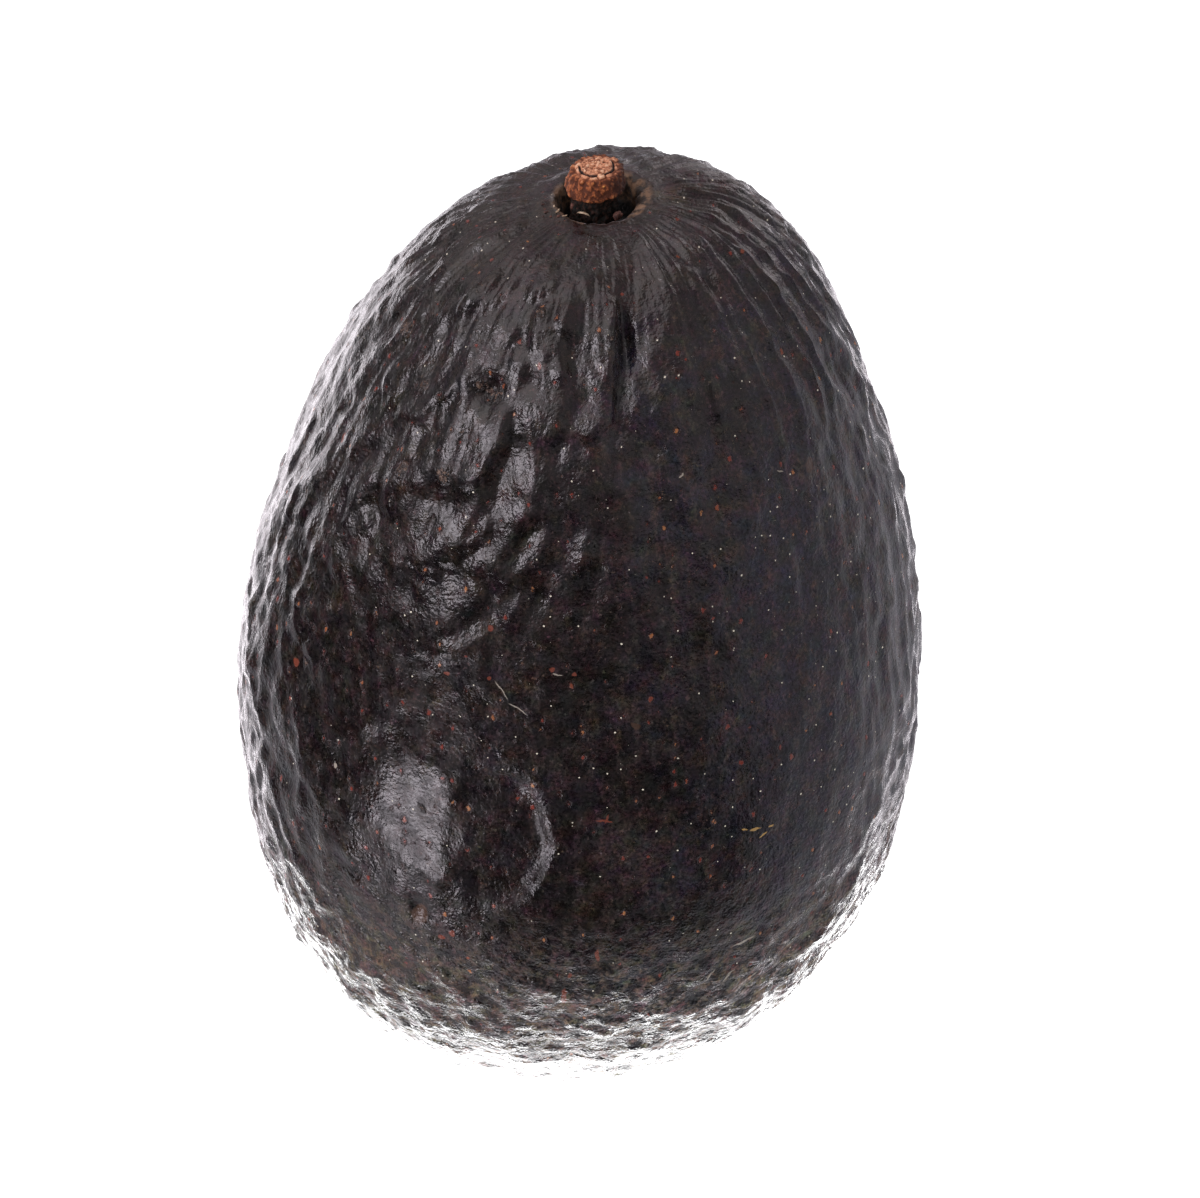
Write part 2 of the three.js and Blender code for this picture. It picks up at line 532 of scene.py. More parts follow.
def streaks():
    """Long low wrinkles down both sides and the back."""
    above = 1 - 0.7 * ramp(DEPTH, 70, 80)
    right = facing(80, 32) * ramp(DEPTH, 14, 24) * above
    left = facing(-85, 45) * ramp(DEPTH, 6, 14) * above
    back = facing(180, 70)
    h = RIGHT_STREAKS * right * loose_noise.crests(along(3.2, 15), 1.6, 0.5)
    h += LEFT_STREAKS * left * broad_noise.crests(along(4.4, 20), 2.0, 0.6)
    h += LEFT_FINE_STREAKS * left * edge_noise.crests(along(2.4, 9), 1.2, 0.45)
    return h + BACK_STREAKS * back * edge_noise.crests(along(3.4, 11), 1.6, 0.6)


def pebbles():
    """Low domes, strongest at the back."""
    dome = fine_noise.domes(fine_noise.warped(PLACE / 2.9, 1.2, 0.35), 0.5, 0.5)
    amount = PEBBLES + BACK_PEBBLES * facing(180, 65)
    return amount * dome * (1 - 0.6 * CALM)


def wrinkles():
    """Fine uneven wrinkling."""
    return WRINKLES * fine_noise.rough(upright(2.8, 4.6)) * (1 - 0.65 * CALM)


# Corky scabs: azimuth, depth, radius, height
SCABS = [
    (-34, 28, 0.85, 0.45),
    (-32.5, 18.8, 0.65, 0.2),
    (-30, 19.4, 0.45, 0.15),
    (-27.5, 19.2, 0.6, 0.2),
    (-45, 29.3, 0.5, 0.15),
    (-67, 18, 0.8, 0.2),
    (-49, 21, 0.4, 0.1),
    (-74, 28.4, 0.6, 0.2),
    (-21, 11, 0.5, 0.15),
    (4.2, 13, 0.4, 0.15),
    (-56.5, 53.5, 0.5, 0.15),
    (-27, 62, 0.35, 0.1),
]


def relief():
    """How far the skin stands out of its smooth form."""
    h = broad_form()
    lively = 1 - 0.72 * CALM
    h += SMALL_LUMPS * lively * broad_noise.rough(PLACE / 6.5)
    above = 1 - 0.7 * ramp(DEPTH, 72, 84)
    h += SCALES * lively * above * shingles(6.5, 8.5, 0.12, 0.05, 0.22, loose_noise)
    left_shoulder = facing(-28, 42) * ramp(DEPTH, 3, 8) * (1 - ramp(DEPTH, 46, 58))
    h += left_shoulder * SHOULDER_SCALES * shingles(7.0, 9.0, 0.15, 0.05, 0.12, chip_noise)
    for facet in FACETS:
        h = flattened(h, *facet)
    for dent in DENTS:
        h = dented(h, *dent)
    for path, height, reach in CRESTS:
        h += ridge(path, height, reach, SHARP_REACH)
    for path, amount, left, right in CREASES:
        h += ridge(path, -amount, left, right)
    h += ribs() + folds() + furrows() + streaks() + pebbles() + wrinkles() + blossom_end()
    for azimuth, depth, radius, height in SCABS:
        x, y = about(azimuth, depth)
        h += height * bell(np.hypot(x, y), radius) * (1 + 0.6 * fine_noise.smooth(PLACE / 0.8))
    return h


def lip_relief():
    """The lip of the pit is uneven, its wall is fibrous, and the pit is partly filled at its right."""
    h = LIP_BUMPS * bell(DEPTH, 1.6) * fine_noise.rough(PLACE / 1.6)
    wall = 1 - ramp(DEPTH, -1.0, -0.2)
    filled = ramp(DEPTH, -3.6, -2.4) * (1 - ramp(DEPTH, -1.6, -0.5)) * facing(80, 60)
    fibres = (WALL_FIBRES * wall + FILLING_BUMPS * filled) * edge_noise.rough(PLACE / 0.9)
    return h + fibres + FILLING * filled


def skin_points():
    """The vertices of the finished skin, with the blossom scar sunk into the flat spot."""
    fade = ramp(DEPTH, 0.0, 2.5) * ramp(HEIGHT, 0.0, 3.0)
    points = PLACE + OUTWARD * (relief() * fade + lip_relief() * (DEPTH > -PIT_DEPTH))[:, None]
    points[:, 2] = np.maximum(points[:, 2], 0)
    under = (HEIGHT < 0.01) & (DEPTH > LENGTH / 2)
    rough = 1 + 0.4 * fine_noise.smooth(PLACE / 0.8)
    points[:, 2] += under * SCAR_DEPTH * bell(RING, SCAR_RADIUS) * rough
    return points


# ---------------- stub of the stalk

PITH_RADIUS = 1.66
RING_CRACK_WIDTH = 0.13
CROSS_CRACK_WIDTH = 0.09
CRACK_DEPTH = 0.34
BARK_DROOP = 0.55  # how far the bark's ring falls away at its outer edge
# The neck is painted near black, as shade under the stub's rim
COLLAR_START, COLLAR_END = 4.55, 5.1  # where the bark gives way to the dark neck, along the profile


def stub_profile():
    """Radius, height and run of each row, from near the middle of the top to near that of the foot."""
    base = RIM_HEIGHT + STUB_BASE_ABOVE_RIM
    top = RIM_HEIGHT + STUB_TOP_ABOVE_RIM
    corners = [
        (0, top),
        (STUB_TOP_RADIUS - STUB_EDGE, top),
        (STUB_TOP_RADIUS, top - STUB_EDGE),
        (STUB_BASE_RADIUS, base),
        (STUB_BASE_RADIUS - STUB_EDGE, base - STUB_EDGE),
        (STUB_NECK_RADIUS, base - STUB_EDGE),
        (STUB_NECK_RADIUS, PIT_FLOOR_HEIGHT),
        (0, PIT_FLOOR_HEIGHT),
    ]
    radius, height = np.array(corners).T
    run = run_along(radius, height)
    even = np.linspace(0, run[-1], STUB_ROWS + 2)
    soft = np.ones(5) / 5
    radius = np.convolve(np.pad(np.interp(even, run, radius), 2, "edge"), soft, "valid")
    height = np.convolve(np.pad(np.interp(even, run, height), 2, "edge"), soft, "valid")
    return radius[1:-1], height[1:-1], even[1:-1]


def stub_top(angle, ring):
    """The cut top: a broken disc of pith in a ring of bark. Height, how deep in a crack, how pale."""
    flat = around_axis(angle, ring, 0 * ring)
    x, y = flat[:, 0], flat[:, 1]
    around = np.column_stack([np.sin(angle), np.cos(angle), 0 * ring])
    edge = PITH_RADIUS + 0.13 * wood_noise.smooth(around * 1.7) + 0.05 * chip_noise.smooth(around * 5)
    pith = 1 - ramp(ring, edge - 0.15, edge)
    bark = ramp(ring, edge, edge + 0.2)

    # a crack round the pith, one across it, and a small hole
    broken = ramp(chip_noise.smooth(around * 2.2 + 5.1), -0.55, -0.2)
    round_pith = bell(ring - edge, RING_CRACK_WIDTH) * broken
    across = bell(y + 0.12 + 0.16 * wood_noise.smooth(flat * 1.5), CROSS_CRACK_WIDTH)
    across = 0.7 * across * ramp(x, -1.5, -1.2) * ramp(-x, -0.5, 0.1)
    hole = 0.8 * bell(np.hypot(x - 0.75, (y - 0.55) * 1.5), 0.28)
    crack = np.maximum(np.maximum(round_pith, across), hole)

    chips = chip_noise.domes(flat / 0.36 + 3.3, 0.35, 0.3)
    lumps = wood_noise.domes(np.column_stack([around[:, :2] * 2.3, ring * 0.9]), 0.35, 0.2)
    slab = pith * (0.10 * chips + 0.08 * wood_noise.smooth(flat * 1.1))
    droop = BARK_DROOP * np.clip((ring - edge) / 0.8, 0, 1)
    height = slab + bark * (0.20 * lumps - 0.08 - droop) + 0.05 * wood_noise.rough(flat / 0.35)
    # Paler on the proud chips and lumps: partly painted highlight, partly the wood's own colour
    pale = pith * (0.30 + 0.55 * chips) + (1 - pith) * (0.12 + 0.85 * lumps)
    return height - CRACK_DEPTH * crack, crack, pale


def stub_side(angle, tall):
    """Granular fibres down the side. Height and how proud each grain stands."""
    turn = np.column_stack([np.sin(angle), np.cos(angle)]) * STUB_BASE_RADIUS

    def unrolled(width, length):
        return np.column_stack([turn / width, tall / length])

    grain = wood_noise.domes(unrolled(0.44, 0.56), 0.42, 0.25)
    small = chip_noise.domes(unrolled(0.24, 0.33), 0.5, 0)
    fibre = wood_noise.smooth(unrolled(0.55, 2.8))
    broad = chip_noise.smooth(unrolled(1.5, 1.9))
    rough = wood_noise.rough(unrolled(0.5, 0.7))
    height = 0.09 * grain + 0.06 * small + 0.07 * fibre + 0.14 * broad + 0.10 * rough - 0.06
    return height, 0.40 * grain + 0.30 * small + 0.30 * rough


def make_stub():
    """The stub's mesh, with the values that its material reads."""
    profile = stub_profile()
    angle = np.radians(np.tile(np.linspace(-180, 180, STUB_COLUMNS, endpoint=False), STUB_ROWS))
    outward = around_axis(angle, *outward_parts(profile[0], profile[1], STUB_COLUMNS))
    ring, tall, run = [np.repeat(row, STUB_COLUMNS) for row in profile]

    top_height, crack, top_grain = stub_top(angle, ring)
    side_height, grain = stub_side(angle, tall)
    on_top = 1 - ramp(run, STUB_TOP_RADIUS - 0.5, STUB_TOP_RADIUS + 0.2)
    collar = ramp(run, COLLAR_START, COLLAR_END)
    turn = np.column_stack([np.sin(angle) * 4, np.cos(angle) * 4, tall / 0.8])
    ragged = 0.22 * chip_noise.rough(turn)
    foot = ramp(tall, PIT_FLOOR_HEIGHT, PIT_FLOOR_HEIGHT + 0.8)
    height = on_top * top_height + (1 - on_top) * ((1 - collar) * side_height + collar * ragged * foot)
    points = around_axis(angle, ring, tall) + outward * height[:, None]
    points = bend(points + np.array([STUB_OFFSET, 0, 0]))
    poles = [leaning(STUB_OFFSET, 0, z) for z in (RIM_HEIGHT + STUB_TOP_ABOVE_RIM, PIT_FLOOR_HEIGHT)]

    stub = closed_grid("stem_stub_wood", points, STUB_ROWS, STUB_COLUMNS, poles)
    add_turn_map(stub, STUB_ROWS, STUB_COLUMNS, np.linspace(0.01, 0.99, STUB_ROWS))
    add_share(stub, "grain", on_top * top_grain + (1 - on_top) * grain)
    add_share(stub, "crack", on_top * crack)
    add_share(stub, "cut", on_top)
    add_share(stub, "collar", collar)
    return stub


# ---------------- meshes

def grid_faces(rows, columns):
    """The faces of rings of vertices, and of the fans that join the end rings to two poles after them."""
    index = np.arange(rows * columns).reshape(rows, columns)
    right = np.roll(index, -1, axis=1)
    quads = np.stack([index[:-1], index[1:], right[1:], right[:-1]], axis=-1).reshape(-1, 4)
    first, last = rows * columns, rows * columns + 1
    fans = [[first, int(a), int(b)] for a, b in zip(index[0], right[0])]
    fans += [[last, int(b), int(a)] for a, b in zip(index[-1], right[-1])]
    return quads.tolist() + fans


def new_object(name, data):
    made = bpy.data.objects.new(name, data)
    bpy.context.scene.collection.objects.link(made)
    return made


def smooth_piece(name, corners, faces):
    """A smooth-shaded piece, from corners in millimetres."""
    mesh = bpy.data.meshes.new(name)
    mesh.from_pydata((corners * MM).tolist(), [], faces)
    mesh.polygons.foreach_set("use_smooth", np.ones(len(mesh.polygons), bool))
    return new_object(name, mesh)


def closed_grid(name, points, rows, columns, poles):
    """A closed piece of rings of vertices, with a pole at each end."""
    return smooth_piece(name, np.vstack([points, *poles]), grid_faces(rows, columns))


def add_turn_map(piece, rows, columns, row_places):
    """A UV map: u is the turn, with its seam at the back, and v is the row's place."""
    mesh = piece.data
    vertex = np.zeros(len(mesh.loops), np.int32)
    mesh.loops.foreach_get("vertex_index", vertex)
    face = np.repeat(np.arange(len(mesh.polygons)), [p.loop_total for p in mesh.polygons])
    first_column = np.tile(np.arange(columns), rows + 1)[face]
    column = vertex % columns
    u = np.where((column == 0) & (first_column == columns - 1), columns, column) / columns
    v = np.append(np.repeat(row_places, columns), [row_places[0], row_places[-1]])[vertex]
    pole = vertex >= rows * columns
    u[pole] = (first_column[pole] + 0.5) / columns
    v[pole] = np.where(vertex[pole] == rows * columns, 0, 1)
    layer = mesh.uv_layers.new(name="OFBake")
    layer.data.foreach_set("uv", np.stack([u, v], axis=1).ravel())


def add_share(piece, name, values):
    """A value at each vertex, for the piece's material to read."""
    layer = piece.data.attributes.new(name, "FLOAT", "POINT")
    layer.data.foreach_set("value", np.append(values, [values[0], values[-1]]))


FIRST_DEPTH = rows_depth[0] - 1.5
LAST_DEPTH = rows_depth[-1] + 1.5


def map_place(depth):
    """Where a depth lies along v of the skin's UV map."""
    return (depth - FIRST_DEPTH) / (LAST_DEPTH - FIRST_DEPTH)


# Olive and tan patches: azimuth, depth, half width, half length, turn, strength
STAINS = [
    (88, 1.3, 1.2, 1.5, 0, 1),
    (-66, 0.6, 0.9, 0.9, 0, 0.6),
    (-30, 84, 9, 4.5, 14, 0.8),
    (-48, 86, 6, 4, 20, 0.6),
    (8, 65, 4, 4, 0, 0.35),
    (45, 84, 6, 3, -12, 0.5),
]

# Patches with less of the finest relief: azimuth, depth, half width, half length, turn, strength
SMOOTH_PATCHES = [
    (-27, 50, 8, 6, 0, 0.8),
    (-48, 50, 6, 8, 0, 0.6),
    (-27.5, 62.5, 6, 8, 0, 0.9),
    (-31, 27, 6, 10, 18, 0.5),
]


def patch_share(patches):
    """How far each vertex lies in these patches, 0 to 1, softly."""
    share = np.zeros(len(DEPTH))
    for azimuth, depth, half_width, half_length, turn, strength in patches:
        x, y = about(azimuth, depth, turn)
        share = np.maximum(share, strength * bell(np.hypot(x / half_width, y / half_length), 1))
    return share


def scab_share():
    """How far each vertex lies on a scab, 0 to 1, with ragged edges."""
    share = np.zeros(len(DEPTH))
    for azimuth, depth, radius, height in SCABS:
        x, y = about(azimuth, depth)
        near = np.hypot(x, y) / radius + 0.35 * fine_noise.smooth(PLACE / 0.9)
        share = np.maximum(share, 1 - ramp(near, 0.7, 1.15))
    return share


SKIN_POINTS = skin_points()


def make_skin():
    """The skin's mesh, with the values that its material reads."""
    poles = [leaning(0, 0, PIT_FLOOR_HEIGHT), leaning(0, 0, SCAR_DEPTH)]
    skin = closed_grid("avocado_skin", SKIN_POINTS, ROWS, COLUMNS, poles)
    add_turn_map(skin, ROWS, COLUMNS, map_place(rows_depth))
    add_share(skin, "scab", scab_share())
    add_share(skin, "stain", patch_share(STAINS))
    add_share(skin, "smooth", patch_share(SMOOTH_PATCHES))
    return skin


# ---------------- materials

class Tree:
    """The node tree of a material or of the world, with short calls to add nodes to it."""

    def __init__(self, owner):
        owner.use_nodes = True
        self.nodes = owner.node_tree.nodes
        self.links = owner.node_tree.links

    def put(self, socket, value):
        if isinstance(value, bpy.types.NodeSocket):
            self.links.new(value, socket)
        elif value is not None:
            socket.default_value = value

    def add(self, kind, values=(), **settings):
        node = self.nodes.new("ShaderNode" + kind)
        for name, value in settings.items():
            setattr(node, name, value)
        for key, value in dict(values).items():
            self.put(node.inputs[key], value)
        return node

    def math(self, operation, a, b=None, c=None):
        return self.add("Math", {0: a, 1: b, 2: c}, operation=operation).outputs[0]

    def times(self, a, b):
        return self.math("MULTIPLY", a, b)

    def times_plus(self, a, b, c):
        return self.math("MULTIPLY_ADD", a, b, c)

    def less(self, a, b):
        return self.math("SUBTRACT", a, b)

    def vector(self, operation, a, b=None, c=None):
        node = self.add("VectorMath", {0: a, 1: b, 2: c}, operation=operation)
        return node.outputs["Value" if operation in ("LENGTH", "DOT_PRODUCT") else "Vector"]

    def scaled(self, vector, by):
        """A vector times a number, or times another vector part by part."""
        return self.vector("MULTIPLY", vector, (by, by, by) if isinstance(by, float) else by)

    def axis(self, vector, name):
        return self.add("SeparateXYZ", {0: vector}).outputs[name]

    def ramp(self, value, low, high, to_low=0, to_high=1):
        values = {0: value, 1: low, 2: high, 3: to_low, 4: to_high}
        return self.add("MapRange", values, interpolation_type="SMOOTHSTEP").outputs[0]

    def mix(self, share, a, b):
        values = {0: share, 6: a, 7: b}
        return self.add("Mix", values, data_type="RGBA").outputs[2]

    def layered(self, color, *layers):
        """A colour with others laid over it in turn, each with its share."""
        for share, over in layers:
            color = self.mix(share, color, over)
        return color


class MaterialTree(Tree):
    """The node tree of a material."""

    def __init__(self, name):
        self.material = bpy.data.materials.new(name)
        super().__init__(self.material)
        self.shader = self.nodes["Principled BSDF"]

    def set(self, **values):
        for name, value in values.items():
            self.put(self.shader.inputs[name.replace("_", " ")], value)


class PieceTree(MaterialTree):
    """The node tree of a piece's material, with patterns whose scales are per millimetre."""

    def __init__(self, name):
        super().__init__(name)
        self.place = self.scaled(self.add("TexCoord").outputs["Object"], 1 / MM)

    def noise(self, scale, detail, roughness, at=None, colored=False):
        values = {"Vector": at or self.place, "Scale": scale, "Detail": detail, "Roughness": roughness}
        return self.add("TexNoise", values).outputs["Color" if colored else "Fac"]

    def cells(self, scale, at=None):
        """The distance to the nearest cell's centre, and two numbers of that cell's own."""
        node = self.add("TexVoronoi", {"Vector": at or self.place, "Scale": scale})
        pick = self.add("SeparateColor", {0: node.outputs["Color"]})
        return node.outputs["Distance"], pick.outputs[0], pick.outputs[1]

    def share(self, name):
        return self.add("Attribute", attribute_name=name).outputs["Fac"]

    def bump(self, height):
        """The normal for a height in millimetres."""
        return self.add("Bump", {"Height": height, "Distance": MM, "Strength": 1}).outputs[0]


def rgb(red, green, blue):
    return (red, green, blue, 1)


# Colours of the skin
BROWN_GROUND = rgb(0.0076, 0.0044, 0.0043)
# Violet of the right side: partly the skin's own tint, partly painted sheen
VIOLET_SIDE_AND_SHEEN = rgb(0.011, 0.009, 0.0135)
RED_BLOTCH = rgb(0.024, 0.0125, 0.011)
DARK_BLOTCH = rgb(0.0042, 0.0034, 0.005)
STREAK = rgb(0.03, 0.02, 0.019)
RED_SHOULDER = rgb(0.026, 0.012, 0.009)
BARE_END = rgb(0.006, 0.005, 0.0045)
SCURFY_END = rgb(0.115, 0.078, 0.056)
OLIVE_STAIN = rgb(0.07, 0.046, 0.022)
FLAKE = rgb(0.075, 0.05, 0.044)
RED_FLECK = rgb(0.16, 0.024, 0.014)
AMBER_FLECK = rgb(0.3, 0.12, 0.04)
FLECK_SURROUND = rgb(0.022, 0.0065, 0.0055)
PALE_SPECK = rgb(0.7, 0.66, 0.54)
# Painted shade over the scabs, as of a hollow
SCAB_SHADE = rgb(0.0045, 0.0026, 0.0024)
DARK_CORK = rgb(0.04, 0.018, 0.012)
PALE_CORK = rgb(0.19, 0.125, 0.09)
DARK_PIT = rgb(0.03, 0.02, 0.014)
PALE_PIT = rgb(0.22, 0.13, 0.075)
# Painted shade at the bottom of the pit
DEEP_PIT_SHADE = rgb(0.003, 0.003, 0.0025)

# Heights of the skin's finest relief, in millimetres
GRAIN, END_GRAIN = 0.07, 0.17
FINE_WRINKLE = 0.07
CRACK, END_CRACK = -0.03, -0.28
FLECK_RING, FLECK = -0.05, 0.06
SCAB_GRAIN = 0.3

# Small marks on the skin. Each kind has a strength, a colour, and for each mark its azimuth, depth,
# half width, half length and turn
MARKS = [
    (0.75, rgb(0.06, 0.03, 0.018), [
        (-67, 18, 1, 0.8, 10), (-49, 21, 0.6, 0.5, 0), (-21, 11, 0.5, 0.6, 0), (-27, 75, 0.9, 1.2, 10),
        (36, 81, 0.9, 0.5, -15), (-45, 29, 0.5, 0.7, 0), (9, 51, 0.5, 0.3, 30), (52, 31, 0.6, 0.8, 0),
    ]),
    (0.8, rgb(0.16, 0.036, 0.02), [
        (-17, 16, 0.22, 0.32, 0), (-18, 41.5, 0.3, 0.3, 0), (-6, 45, 0.28, 0.28, 0),
        (-2, 45.5, 0.25, 0.25, 0), (-25, 47, 0.3, 0.25, 0), (-17, 46.5, 0.22, 0.22, 0),
        (4, 61, 0.8, 0.13, 12), (4.4, 60.8, 0.13, 0.55, 20), (-59, 54, 0.35, 0.5, 0),
        (-23, 77, 0.4, 0.3, 0), (-21, 76, 0.3, 0.4, 0), (-2, 83.2, 0.26, 1.4, 0),
        (3.5, 77.5, 0.24, 0.9, -6), (-1, 80, 0.2, 0.4, 20), (-68, 31, 0.35, 0.6, 0),
    ]),
    (0.8, rgb(0.4, 0.24, 0.07), [
        (30, 65, 0.6, 0.14, 10), (31.5, 66, 0.5, 0.12, -20), (28, 64.6, 0.4, 0.1, 25),
        (33, 65.3, 0.35, 0.12, 0),
    ]),
    (0.65, rgb(0.36, 0.32, 0.27), [
        (-14.7, 47.6, 1.1, 0.07, 52), (-11.5, 49.4, 1.1, 0.07, 30), (-5, 45.5, 0.5, 0.08, 5),
        (-45, 61.5, 0.22, 0.26, 0), (30, 79.5, 1.2, 0.2, -12), (28, 84, 0.9, 0.16, -35),
        (33, 86, 1.2, 0.14, -30), (24, 83, 0.8, 0.14, -50), (44, 30, 0.4, 0.07, 20),
        (20, 27, 0.35, 0.07, -40),
    ]),
    (0.95, rgb(0.002, 0.002, 0.002), [
        (38, 19.5, 0.12, 1.5, -15), (11.8, 87.4, 0.22, 2, -25), (13.8, 87.2, 0.18, 1.8, -25),
        (1, 90, 1.1, 0.9, 0),
    ]),
]


class SkinTree(PieceTree):
    """The skin's node tree, with the coordinates and patterns that several of its layers read."""

    def __init__(self, name):
        super().__init__(name)
        self.across = self.axis(self.place, "X")
        self.turn_map = self.add("UVMap", uv_map="OFBake").outputs[0]
        self.run = self.axis(self.turn_map, "Y")
        self.low = self.by_depth(70, 90)
        self.in_pit = self.by_depth(0.1, -0.9)
        self.warp = self.vector("SUBTRACT", self.noise(1.3, 2, 0.5, colored=True), (0.5, 0.5, 0.5))
        self.scurf = self.noise(0.9, 3, 0.7)
        self.speckle = self.noise(3, 3, 0.75)
        self.cork = self.noise(3.2, 2, 0.7)
        self.scab = self.share("scab")
        self.smooth = self.share("smooth")

    def by_depth(self, first, last, to_first=0, to_last=1):
        """A value that changes smoothly between two depths."""
        return self.ramp(self.run, map_place(first), map_place(last), to_first, to_last)

    def meridian(self):
        """Coordinates for patterns that run from end to end."""
        around = self.vector("NORMALIZE", self.scaled(self.place, (1, 1, 0)))
        around = self.scaled(around, (RADIUS, RADIUS, 0))
        around = self.vector("ADD", around, self.scaled(self.place, (0.12, 0.12, 0.25)))
        return self.vector("ADD", around, self.scaled(self.warp, 1.6))


def ground(tree):
    """Brown on the left to a brighter violet on the right, partly the skin's own tint and partly a painted
    sheen on the right side, with blotches and streaks, redder at the stalk end and scurfy at the blossom
    end.
    """
    # Painted sheen: the colour turns violet and brighter towards +x, the right side, and darker towards the
    # left
    side = tree.times_plus(tree.across, 0.012, tree.noise(0.11, 2, 0.6))
    blotch = tree.noise(0.4, 3, 0.65)
    away = tree.by_depth(3, 18, 0.25, 1)
    streak = tree.ramp(tree.noise(0.85, 3, 0.65, tree.meridian()), 0.5, 0.68)
    blossom_end = tree.mix(tree.ramp(tree.scurf, 0.45, 0.58), BARE_END, SCURFY_END)
    stain = tree.times(tree.share("stain"), tree.ramp(tree.scurf, 0.38, 0.56, 0.25, 1))
    color = tree.layered(
        tree.mix(tree.ramp(side, 0.4, 0.8), BROWN_GROUND, VIOLET_SIDE_AND_SHEEN),
        (tree.ramp(blotch, 0.5, 0.66, 0, 0.65), RED_BLOTCH),
        (tree.ramp(blotch, 0.48, 0.34, 0, 0.55), DARK_BLOTCH),
        (tree.times(streak, tree.times(away, 0.8)), STREAK),
        (tree.times(tree.low, 0.75), blossom_end),
        (tree.ramp(away, 0.25, 0.9, 0.35, 0), RED_SHOULDER),
        (tree.times(stain, 0.6), OLIVE_STAIN),
    )
    # Painted sheen: darker on the left side, brighter on the right
    return tree.scaled(color, tree.ramp(side, 0.3, 0.85, 0.68, 1.2))


def speckled(tree, color):
    """Fine speckle, thin flakes, and a faint blue, violet and olive tint in patches."""
    color = tree.scaled(color, tree.ramp(tree.speckle, 0.36, 0.66, 0.5, 1.8))
    flake = tree.noise(1.7, 2, 0.8)
    color = tree.mix(tree.ramp(flake, 0.63, 0.72, 0, 0.6), color, FLAKE)
    tint = tree.noise(0.55, 2, 0.7, colored=True)
    tint = tree.vector("MULTIPLY_ADD", tint, (1.7, 1.7, 1.7), (0.15, 0.15, 0.15))
    return tree.scaled(color, tree.vector("MAXIMUM", tint, (0.2, 0.2, 0.2)))


def lenticels(tree):
    """Crumbly flecks of many sizes. Where they are, where their surrounds are, and their colour."""
    stretched = tree.scaled(tree.place, (1.15, 1.15, 0.8))
    distance, size, hue = tree.cells(0.7, stretched)
    near = tree.less(distance, tree.ramp(size, 0.15, 1, -0.02, 0.17))
    near = tree.times_plus(tree.less(tree.cork, 0.5), 0.45, near)
    rust = tree.mix(tree.ramp(hue, 0.45, 0.95), RED_FLECK, AMBER_FLECK)
    return tree.ramp(near, 0.01, -0.04), tree.ramp(near, 0.2, 0.02), rust


def pale_specks(tree):
    """Tiny pale specks, in drifts, more of them towards the right."""
    place = tree.vector("ADD", tree.place, tree.scaled(tree.warp, 0.3))
    distance, size = tree.cells(1.5, place)[:2]
    drift = tree.times_plus(tree.across, 0.004, tree.noise(0.16, 1, 0.6))
    least = tree.ramp(drift, 0.38, 0.64, 0.92, 0.6)
    return tree.ramp(tree.less(distance, tree.ramp(size, least, 1, -0.02, 0.155)), 0, -0.03)


def mark_share(tree, marks):
    """Where any of these marks lies, 0 to 1, with a ragged edge."""
    ragged = tree.scaled(tree.warp, 0.5)
    down = LAST_DEPTH - FIRST_DEPTH
    total = None
    for azimuth, depth, half_width, half_length, turn in marks:
        around = 2 * math.pi * radius_at(depth)
        start = (-(azimuth + 180) / 360 * around, -map_place(depth) * down, 0)
        apart = tree.vector("MULTIPLY_ADD", tree.turn_map, (around, down, 0), start)
        values = {
            "Vector": tree.vector("ADD", apart, ragged),
            "Rotation": (0, 0, math.radians(turn)),
            "Scale": (half_width, half_length, 1),
        }
        turned = tree.add("Mapping", values, vector_type="TEXTURE").outputs[0]
        share = tree.ramp(tree.vector("LENGTH", turned), 1.15, 0.75)
        total = share if total is None else tree.math("MAXIMUM", total, share)
    return total


def with_cork(tree, color):
    """Crumbly cork on the scabs and on the blossom scar, with painted shade darkening each scab and its
    edge as if it lay in a hollow.
    """
    cork_color = tree.mix(tree.ramp(tree.cork, 0.48, 0.7), DARK_CORK, PALE_CORK)
    crumb = tree.times_plus(tree.less(tree.cork, 0.5), 2.6, tree.scab)
    crumb = tree.times(tree.ramp(crumb, 0.75, 0.95), tree.ramp(tree.scab, 0.3, 0.8))
    on_scar = tree.by_depth(rows_depth[-1] - SCAR_RADIUS, rows_depth[-1] - 0.8)
    return tree.layered(
        color,
        # Painted shade over each scab and its edge, as of a hollow
        (tree.ramp(tree.scab, 0.02, 0.5, 0, 0.8), SCAB_SHADE),
        (tree.times(crumb, 0.85), cork_color),
        (tree.times(on_scar, 0.85), cork_color),
    )


def with_pit(tree, color):
    """The pit's brown wall, with painted shade that turns it near black towards the floor."""
    wall = tree.mix(tree.ramp(tree.scurf, 0.42, 0.62), DARK_PIT, PALE_PIT)
    # Painted shade: near black towards the floor of the pit
    return tree.layered(color, (tree.in_pit, wall), (tree.by_depth(-2.8, -4.2), DEEP_PIT_SHADE))


def finest_relief(tree, fleck, around_fleck):
    """The height of the bump: grain, wrinkles and cracks, raised flecks and rough scabs."""
    grain = tree.noise(3.1, 1, 0.6)
    wrinkle = tree.noise(1.4, 1, 0.6, tree.scaled(tree.place, (1.1, 1.1, 0.7)))
    crackle = tree.cells(0.9)[0]
    height = tree.times(grain, tree.times_plus(tree.low, END_GRAIN, GRAIN))
    for pattern, amount in (
        (around_fleck, FLECK_RING),
        (fleck, FLECK),
        (wrinkle, FINE_WRINKLE),
        (crackle, tree.times_plus(tree.low, END_CRACK, CRACK)),
        (tree.scab, tree.times(grain, SCAB_GRAIN)),
    ):
        height = tree.times_plus(pattern, amount, height)
    return tree.times(height, tree.times_plus(tree.smooth, -0.5, 1))


